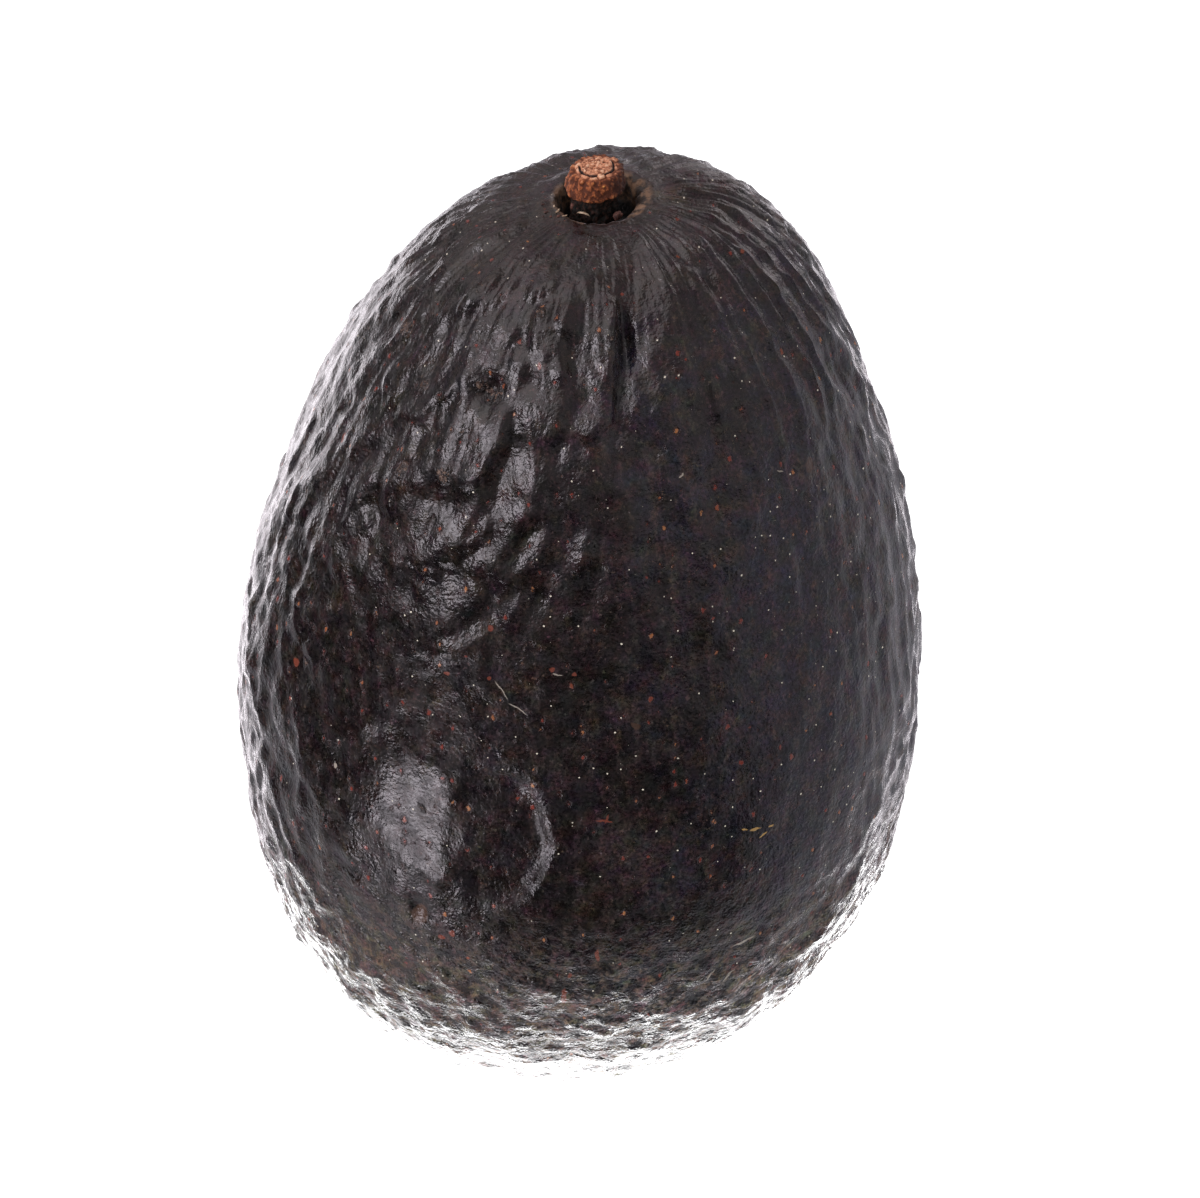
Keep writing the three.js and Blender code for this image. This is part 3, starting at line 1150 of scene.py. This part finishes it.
def skin_roughness(tree):
    """Glossy in patches. Cork and the pit are dull, and so are patches of the blossom end."""
    roughness = tree.ramp(tree.noise(0.45, 3, 0.7), 0.4, 0.62, 0.19, 0.34)
    dull = tree.ramp(tree.noise(0.55, 3, 0.7), 0.48, 0.54)
    dull = tree.times(dull, tree.times(tree.low, tree.by_depth(98, 91)))
    for pattern, amount in (
        (tree.smooth, 0.04),
        (tree.ramp(tree.speckle, 0.4, 0.6), 0.06),
        (tree.low, -0.07),
        (dull, 0.4),
        (tree.math("MAXIMUM", tree.times(tree.scab, 0.6), tree.in_pit), 0.3),
    ):
        roughness = tree.times_plus(pattern, amount, roughness)
    return roughness


def skin_material():
    tree = SkinTree("avocado_skin")
    fleck, around_fleck, rust = lenticels(tree)
    color = tree.layered(
        speckled(tree, ground(tree)),
        (tree.times(around_fleck, 0.65), FLECK_SURROUND),
        (tree.times(fleck, 0.85), rust),
        (tree.times(pale_specks(tree), 0.85), PALE_SPECK),
    )
    for strength, mark_color, marks in MARKS:
        color = tree.mix(tree.times(mark_share(tree, marks), strength), color, mark_color)
    color = with_pit(tree, with_cork(tree, color))
    normal = tree.bump(finest_relief(tree, fleck, around_fleck))
    tree.set(Base_Color=color, Roughness=skin_roughness(tree), Normal=normal)
    tree.set(Sheen_Weight=0.2, Sheen_Roughness=0.25, Sheen_Tint=rgb(0.95, 0.9, 1))
    return tree.material


# Colours of the stub: bark from deep to proud (partly painted shade and highlight), its painted shaded
# side, pith from deep to proud (the same), cracks, neck (painted shade)
DEEP_BARK = rgb(0.085, 0.023, 0.01)
BARK = rgb(0.3, 0.085, 0.028)
PINK_GRAIN = rgb(0.7, 0.28, 0.12)
GOLDEN_GRAIN = rgb(0.74, 0.34, 0.08)
SHADED_BARK = rgb(0.035, 0.014, 0.012)
DEEP_PITH = rgb(0.2, 0.066, 0.032)
PITH = rgb(0.64, 0.29, 0.16)
PALE_PITH = rgb(0.76, 0.48, 0.31)
WOOD_CRACK = rgb(0.016, 0.006, 0.005)
NECK_SHADE = rgb(0.006, 0.006, 0.005)
# Painted shade: the neck under the stub's rim, near black, with reddish specks
NECK_SPECK = rgb(0.045, 0.02, 0.014)


def stub_material():
    """Granular red-brown bark with golden grains and pale broken pith on top, both darker in the hollows
    and paler on the proud grains, partly their own colour and partly painted shade and highlight; a painted
    shaded side, and a neck painted near black as shade.
    """
    tree = PieceTree("stub_wood")
    grain, crack, cut, collar = [tree.share(name) for name in ("grain", "crack", "cut", "collar")]
    speckle = tree.noise(2.6, 3, 0.7)
    patches = tree.noise(0.55, 2, 0.5)
    # Tone follows how proud each grain stands: painted shade in the hollows and painted highlight on the
    # proud grains, partly the bark's own colour
    tone = tree.times_plus(tree.less(speckle, 0.5), 1.3, grain)
    proud = tree.mix(tree.ramp(patches, 0.4, 0.6), PINK_GRAIN, GOLDEN_GRAIN)
    shaded = tree.times_plus(tree.less(patches, 0.5), 2.5, tree.axis(tree.place, "X"))
    bark = tree.layered(
        DEEP_BARK,
        (tree.ramp(tone, 0.08, 0.42), BARK),
        (tree.ramp(tone, 0.42, 0.95), proud),
        (tree.ramp(shaded, 3.2, 4.6, 0, 0.8), SHADED_BARK),
    )
    pith = tree.mix(tree.ramp(tone, 0.2, 0.6), DEEP_PITH, PITH)
    pith = tree.mix(tree.ramp(tone, 0.62, 0.95), pith, PALE_PITH)
    # Painted shade on the neck under the stub's rim
    neck = tree.mix(tree.ramp(speckle, 0.45, 0.65), NECK_SHADE, NECK_SPECK)
    color = tree.layered(bark, (cut, pith), (tree.ramp(crack, 0.25, 0.7), WOOD_CRACK), (collar, neck))
    normal = tree.bump(tree.times(speckle, 0.16))
    tree.set(Base_Color=color, Roughness=tree.ramp(tone, 0.2, 0.8, 0.75, 0.55), Normal=normal)
    tree.set(Specular_IOR_Level=0.3)
    return tree.material


def dry_material(name, dark, pale):
    """Speckled dry bark."""
    tree = PieceTree(name)
    speckle = tree.noise(3, 3, 0.7)
    color = tree.mix(tree.ramp(speckle, 0.38, 0.62), dark, pale)
    tree.set(Base_Color=color, Roughness=0.7, Normal=tree.bump(tree.times(speckle, 0.1)))
    return tree.material


# ---------------- pieces

def litter(name, bits, dark, pale):
    """Dry bits in one mesh: each has a place, half sizes, a turn about the vertical and a bow."""
    angle = np.tile(np.linspace(0, 2 * math.pi, BIT_COLUMNS, endpoint=False), BIT_ROWS)
    lift = np.repeat(np.linspace(math.pi / 2, -math.pi / 2, BIT_ROWS + 2)[1:-1], BIT_COLUMNS)
    ball = np.column_stack([np.cos(lift) * np.cos(angle), np.cos(lift) * np.sin(angle), np.sin(lift)])
    ball = np.vstack([ball, [0, 0, 1], [0, 0, -1]])
    ball_faces = grid_faces(BIT_ROWS, BIT_COLUMNS)
    points, faces = [], []
    for number, (place, size, turn, bow) in enumerate(bits):
        rough = 1 + 0.35 * chip_noise.smooth(ball * 1.6 + 7.3 * number)
        x, y, z = (ball * rough[:, None] * np.array(size)).T
        z = z + bow * (x / size[0]) ** 2
        c, s = math.cos(math.radians(turn)), math.sin(math.radians(turn))
        points.append(np.column_stack([c * x - s * y, s * x + c * y, z]) + np.array(place))
        faces += [[corner + number * len(ball) for corner in face] for face in ball_faces]
    made = smooth_piece(name, np.vstack(points), faces)
    made.data.materials.append(dry_material(name, dark, pale))
    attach(made, "root")


def on_skin(azimuth, depth, lift=0):
    """A place on the finished skin, or just out of it."""
    row = int(np.argmin(np.abs(rows_depth - depth)))
    column = round((azimuth + 180) / 360 * COLUMNS) % COLUMNS
    index = row * COLUMNS + column
    return SKIN_POINTS[index] + OUTWARD[index] * lift


skin = make_skin()
skin.data.materials.append(skin_material())
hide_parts("fruit")
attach(skin, "root")

stub = make_stub()
stub.data.materials.append(stub_material())
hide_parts("stem_stub")
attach(stub, "root")

# Dry bits in and round the pit: place, half sizes, turn, bow
litter("dry_flakes", [
    (leaning(-1.75, -2.22, RIM_HEIGHT - 0.35), (0.62, 0.16, 0.09), -24, -0.16),
    (on_skin(-60, -0.2, 0.03), (0.4, 0.11, 0.07), 62, 0.08),
    (on_skin(-47, -0.3, 0.03), (0.26, 0.09, 0.06), 25, 0.05),
    (on_skin(-76, -0.5, 0.03), (0.24, 0.09, 0.06), 85, 0.05),
], rgb(0.3, 0.19, 0.11), rgb(0.62, 0.5, 0.36))
litter("bark_crumbs", [
    (on_skin(-68, 0.3), (0.26, 0.14, 0.1), 25, 0),
    (on_skin(-59, 0.5), (0.2, 0.13, 0.09), 50, 0),
    (on_skin(-74, 0.7), (0.16, 0.11, 0.07), 70, 0),
    (on_skin(-53, 0.2), (0.22, 0.12, 0.09), 35, 0),
    (on_skin(-82, 0.3), (0.17, 0.1, 0.07), 15, 0),
    (on_skin(-45, 0.4), (0.14, 0.09, 0.06), 65, 0),
    (on_skin(-64, 0.9), (0.12, 0.09, 0.06), 10, 0),
    (leaning(1.55, -2.25, RIM_HEIGHT - 0.85), (0.52, 0.3, 0.42), 30, 0),
    (leaning(-2.75, -0.9, RIM_HEIGHT - 0.35), (0.3, 0.26, 0.3), 75, 0),
    (leaning(-2.3, -1.75, RIM_HEIGHT - 0.1), (0.1, 0.09, 0.09), 0, 0),
], rgb(0.035, 0.014, 0.011), rgb(0.16, 0.066, 0.048))


# ---------------- stage, in metres

WHITE = (1, 1, 1)
FLOOR_GLOW = 1.5
FLOOR_SQUARE = [(-4, -4), (4, -4), (4, 4), (-4, 4)]
FLAG_HEIGHT = 0.0003

# Cards that the skin reflects: height, strength, tint and outline
CARDS = {
    "side_sheen": (0.0004, 0.4, (0.9, 0.86, 1), [
        (0.06, -0.045), (0.1, -0.09), (0.2, -0.2), (1.2, -0.8), (1.2, 0.6), (0.1, 0.6),
    ]),
    "dim_sheen": (0.0005, 0.6, (0.95, 0.93, 1), [
        (-1.2, 0.9), (-1.2, 0.5), (-0.16, 0.075), (-0.11, 0.02), (-0.075, -0.008), (-0.052, -0.038),
        (-0.022, -0.052), (0.022, -0.05), (0.048, -0.038), (0.08, -0.02), (0.12, 0), (0.2, 0.03),
        (1.2, 0.2), (1.2, 0.9),
    ]),
    "left_sheen": (0.0007, 3.6, (1, 0.94, 0.99), [
        (0, -0.014), (-0.015, -0.008), (-0.028, 0.01), (-0.038, 0.03), (-0.046, 0.056), (-0.06, 0.12),
        (-0.2, 0.9), (-0.5, 0.9), (-0.3, 0.19), (-0.096, 0.08), (-0.074, 0.046), (-0.06, 0.026),
        (-0.052, 0.01), (-0.034, -0.01), (-0.02, -0.024), (0, -0.034),
    ]),
    "right_sheen": (0.0007, 2.8, (1, 0.94, 0.99), [
        (0, -0.034), (0.018, -0.024), (0.034, -0.01), (0.05, 0.002), (0.057, 0.02), (0.058, 0.056),
        (0.075, 0.1), (0.5, 0.9), (0.2, 0.9), (0.05, 0.12), (0.044, 0.056), (0.038, 0.03),
        (0.028, 0.01), (0.015, -0.008), (0, -0.014),
    ]),
    "glare": (0.0009, 9, WHITE, [
        (-0.04, 0.018), (-0.048, 0.008), (-0.033, -0.012), (-0.02, -0.023), (0, -0.027), (0.01, -0.027),
        (0.018, -0.019), (0.029, -0.008), (0.042, 0.002), (0.048, 0.018), (0.04, 0.018), (0.028, 0.006),
        (0.015, -0.008), (0, -0.013), (-0.015, -0.008), (-0.028, 0.006),
    ]),
}

LILAC = (1, 0.92, 1)

# Parts of the sky that glow: direction, angles from it where the glow starts and is full, and the
# strengths outside and inside those angles
GLOWS = [
    ((-0.5, -0.1, 0.86), 44, 8, 0.22, 1.9),
    ((0.75, -0.35, 0.35), 60, 10, 0, 0.29),
    ((0.35, 0.75, 0.55), 42, 8, 0, 0.34),
    ((0.58, 0.72, 0.34), 30, 8, 0, 1.6),
    ((-0.5, 0.72, 0.45), 24, 6, 0, 0.5),
]
SKY = rgb(1, 0.91, 0.93)
BACKDROP = 1.2

# Camera
ELEVATION = 35.2
DISTANCE = 0.68
AIM = Vector((0.0026, 0, 0.0522))
FOCAL_LENGTH = 205.8
SENSOR_WIDTH = 36


def card(name, height, glow, tint, outline):
    """A flat level card that gives off its own light and reflects none."""
    tree = MaterialTree(name)
    tree.set(Base_Color=rgb(0, 0, 0), Roughness=0.9, Specular_IOR_Level=0)
    tree.set(Emission_Color=rgb(*tint), Emission_Strength=glow)
    mesh = bpy.data.meshes.new(name)
    mesh.from_pydata([(x, y, height) for x, y in outline], [], [tuple(range(len(outline)))])
    mesh.materials.append(tree.material)
    made = new_object(name, mesh)
    return made


def reflected_only(thing):
    """Seen only in reflections, as a flag or a panel outside the picture is."""
    for ray in ("camera", "diffuse", "shadow", "transmission", "volume_scatter"):
        setattr(thing, "visible_" + ray, False)


def softbox(name, place, aim, size, power):
    light = bpy.data.lights.new(name, "AREA")
    light.shape = "RECTANGLE"
    light.size, light.size_y = size
    light.energy = power
    light.color = LILAC
    made = new_object(name, light)
    made.location = place
    made.rotation_euler = (Vector(place) - Vector(aim)).to_track_quat("Z", "Y").to_euler()
    made.visible_camera = False


def add_camera():
    lift = math.radians(ELEVATION)
    back = Vector((0, -math.cos(lift), math.sin(lift)))
    camera = new_object("camera", bpy.data.cameras.new("camera"))
    camera.data.lens = FOCAL_LENGTH
    camera.data.sensor_width = SENSOR_WIDTH
    camera.data.clip_start = 0.01
    camera.location = AIM + back * DISTANCE
    camera.rotation_euler = back.to_track_quat("Z", "Y").to_euler()
    bpy.context.scene.camera = camera


def add_world():
    """Soft light from the sky, and a plain white backdrop that only the camera sees."""
    world = bpy.data.worlds.new("studio")
    bpy.context.scene.world = world
    tree = Tree(world)
    way = tree.add("TexCoord").outputs["Generated"]
    total = None
    for direction, reach, core, rest, peak in GLOWS:
        toward = tree.vector("DOT_PRODUCT", way, Vector(direction).normalized())
        start, full = math.cos(math.radians(reach)), math.cos(math.radians(core))
        strength = tree.ramp(toward, start, full, rest, peak)
        total = strength if total is None else tree.math("ADD", total, strength)
    dome = tree.nodes["Background"]
    tree.put(dome.inputs["Color"], SKY)
    tree.put(dome.inputs["Strength"], total)
    backdrop = tree.add("Background", {"Color": rgb(*WHITE), "Strength": BACKDROP})
    seen = tree.add("LightPath").outputs["Is Camera Ray"]
    pick = tree.add("MixShader", {0: seen})
    tree.links.new(dome.outputs[0], pick.inputs[1])
    tree.links.new(backdrop.outputs[0], pick.inputs[2])
    tree.links.new(pick.outputs[0], tree.nodes["World Output"].inputs["Surface"])


card("floor", 0, FLOOR_GLOW, WHITE, FLOOR_SQUARE)
reflected_only(card("flag", FLAG_HEIGHT, 0, WHITE, FLOOR_SQUARE))
for name, values in CARDS.items():
    reflected_only(card(name, *values))
softbox("left_softbox", (-0.455, -0.245, 0.295), (0, 0, 0.06), (0.26, 0.2), 1.3)
softbox("low_panel", (-0.064, -0.066, 0.004), (-0.02, -0.02, 0.05), (0.034, 0.034), 0.033)
add_camera()
add_world()
bpy.context.scene.view_settings.view_transform = "Standard"
